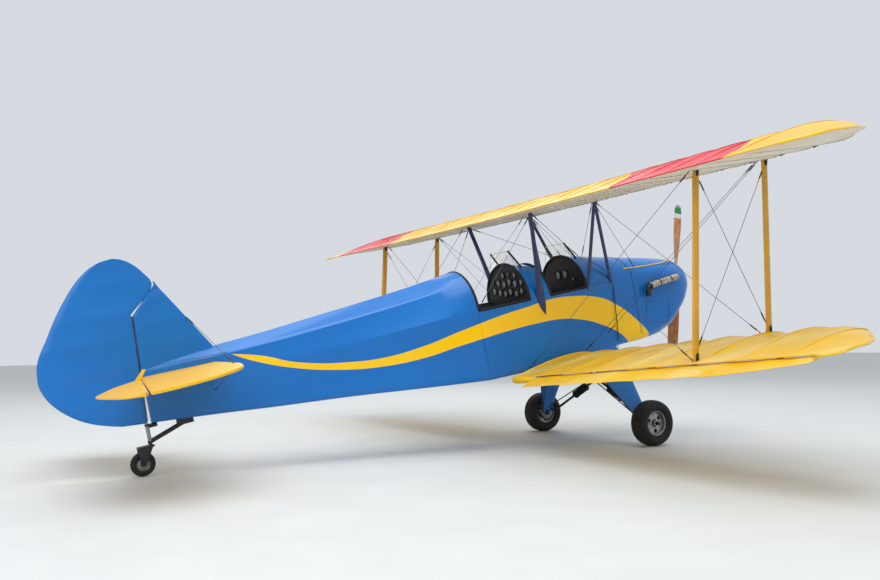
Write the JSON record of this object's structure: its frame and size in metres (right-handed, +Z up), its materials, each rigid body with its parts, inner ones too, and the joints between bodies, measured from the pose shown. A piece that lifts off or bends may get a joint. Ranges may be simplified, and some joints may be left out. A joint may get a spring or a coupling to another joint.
{
  "type": "two-seat biplane",
  "caption": "Open-cockpit biplane with fabric-covered, wire-braced wings, a wooden propeller and a tail wheel, parked nose-up; wheels, propeller and control surfaces turn.",
  "frame": {"origin": "on the ground, under the middle of the parked aircraft's box", "axes": "+X towards the nose, +Y to port, +Z up"},
  "size_m": [6.7774, 7.6, 2.5724],
  "materials": {
    "blue_fabric": "blue doped fabric, gloss",
    "blue_metal": "blue gloss paint",
    "dark_blue_metal": "dark blue gloss paint",
    "cowl_blue": "blue gloss paint on laminate",
    "pale_yellow_fabric": "pale yellow doped fabric with red bands",
    "yellow_fabric": "yellow doped fabric",
    "yellow_metal": "yellow gloss paint",
    "black_metal": "black paint, satin",
    "panel_black": "black crackle paint with round dials",
    "clear_pane": "clear moulded pane",
    "seat_cover": "dark seat cover",
    "bare_steel": "bare steel",
    "engine_alloy": "cast alloy",
    "wheel_alloy": "bare alloy",
    "exhaust_steel": "heat-stained steel",
    "prop_wood": "varnished laminated wood",
    "tyre_rubber": "black rubber"
  },
  "bodies": {
    "airframe": {"cockpit_tub": "blue_fabric", "cowling": "cowl_blue", "rear_instrument_panel": "panel_black", "front_instrument_panel": "panel_black", "engine_block": "engine_alloy", "exhaust_pipe": "exhaust_steel", "rear_seat": "seat_cover", "front_seat": "seat_cover", "rear_stick": "black_metal", "front_stick": "black_metal", "upper_wing_centre": "pale_yellow_fabric", "upper_wing_left": "pale_yellow_fabric", "upper_wing_right": "pale_yellow_fabric", "lower_wing_left": "yellow_fabric", "lower_wing_right": "yellow_fabric", "front_strut_left": "yellow_metal", "rear_strut_left": "yellow_metal", "front_strut_right": "yellow_metal", "rear_strut_right": "yellow_metal", "front_cabane_left": "dark_blue_metal", "rear_cabane_left": "dark_blue_metal", "front_cabane_right": "dark_blue_metal", "rear_cabane_right": "dark_blue_metal", "rear_windshield_frame": "black_metal", "rear_windshield": "clear_pane", "front_windshield_frame": "black_metal", "front_windshield": "clear_pane", "rear_fuselage": "blue_fabric", "fin": "blue_fabric", "stabiliser_left": "yellow_fabric", "stabiliser_right": "yellow_fabric", "gear_centre_frame": "black_metal", "gear_leg_left": "blue_metal", "shock_strut_left": "black_metal", "gear_leg_right": "blue_metal", "shock_strut_right": "black_metal", "tail_leg": "black_metal", "front_flying_wire_left": "bare_steel", "rear_flying_wire_left": "bare_steel", "front_landing_wire_left": "bare_steel", "rear_landing_wire_left": "bare_steel", "front_flying_wire_right": "bare_steel", "rear_flying_wire_right": "bare_steel", "front_landing_wire_right": "bare_steel", "rear_landing_wire_right": "bare_steel"},
    "propeller": {"propeller": "prop_wood", "propeller_hub": "bare_steel"},
    "wheel_left": {"tyre_left": "tyre_rubber", "wheel_hub_left": "wheel_alloy"},
    "wheel_right": {"tyre_right": "tyre_rubber", "wheel_hub_right": "wheel_alloy"},
    "tail_fork": {"tail_fork": "black_metal"},
    "tail_wheel": {"tail_tyre": "tyre_rubber", "tail_wheel_hub": "wheel_alloy"},
    "rudder": {"rudder": "blue_fabric"},
    "elevator_left": {"elevator_left": "yellow_fabric"},
    "elevator_right": {"elevator_right": "yellow_fabric"},
    "flaperon_left": {"flaperon_left": "yellow_fabric"},
    "flaperon_right": {"flaperon_right": "yellow_fabric"}
  },
  "joints": [
    {"name": "propeller_spin", "type": "hinge", "parent": "airframe", "child": "propeller", "pos_m": [3.21042, 0, 1.67099], "axis": [0.9807, 0, 0.1954], "continuous": true},
    {"name": "wheel_left_spin", "type": "hinge", "parent": "airframe", "child": "wheel_left", "pos_m": [1.94019, 0.875, 0.21998], "axis": [0, 1, 0], "continuous": true},
    {"name": "wheel_right_spin", "type": "hinge", "parent": "airframe", "child": "wheel_right", "pos_m": [1.94019, -0.875, 0.21998], "axis": [0, 1, 0], "continuous": true},
    {"name": "rudder_turn", "type": "hinge", "parent": "airframe", "child": "rudder", "pos_m": [-2.61197, 0, 0.42309], "axis": [-0.1533, 0, 0.9882], "range_deg": [-25, 25]},
    {"name": "tail_steer", "type": "hinge", "parent": "airframe", "child": "tail_fork", "pos_m": [-2.58086, 0, 0.32325], "axis": [-0.1954, 0, 0.9807], "range_deg": [-25, 25]},
    {"name": "tail_wheel_spin", "type": "hinge", "parent": "tail_fork", "child": "tail_wheel", "pos_m": [-2.62123, 0, 0.09598], "axis": [0, 1, 0], "continuous": true},
    {"name": "elevator_right_turn", "type": "hinge", "parent": "airframe", "child": "elevator_right", "pos_m": [-2.69333, -0.15, 0.74949], "axis": [0.1331, 0.9907, 0.0265], "range_deg": [-25, 25]},
    {"name": "elevator_left_turn", "type": "hinge", "parent": "airframe", "child": "elevator_left", "pos_m": [-2.69333, 0.15, 0.74949], "axis": [-0.1331, 0.9907, -0.0265], "range_deg": [-25, 25]},
    {"name": "flaperon_right_turn", "type": "hinge", "parent": "airframe", "child": "flaperon_right", "pos_m": [0.69979, -2, 0.77665], "axis": [0.0139, 0.9975, -0.0696], "range_deg": [-18, 18]},
    {"name": "flaperon_left_turn", "type": "hinge", "parent": "airframe", "child": "flaperon_left", "pos_m": [0.69979, 2, 0.77665], "axis": [-0.0139, 0.9975, 0.0696], "range_deg": [-18, 18]}
  ],
  "couplings": [
    {"joint": "tail_steer", "follows": "rudder_turn", "ratio": 1},
    {"joint": "elevator_left_turn", "follows": "elevator_right_turn", "ratio": 1},
    {"joint": "flaperon_left_turn", "follows": "flaperon_right_turn", "ratio": -1}
  ]
}
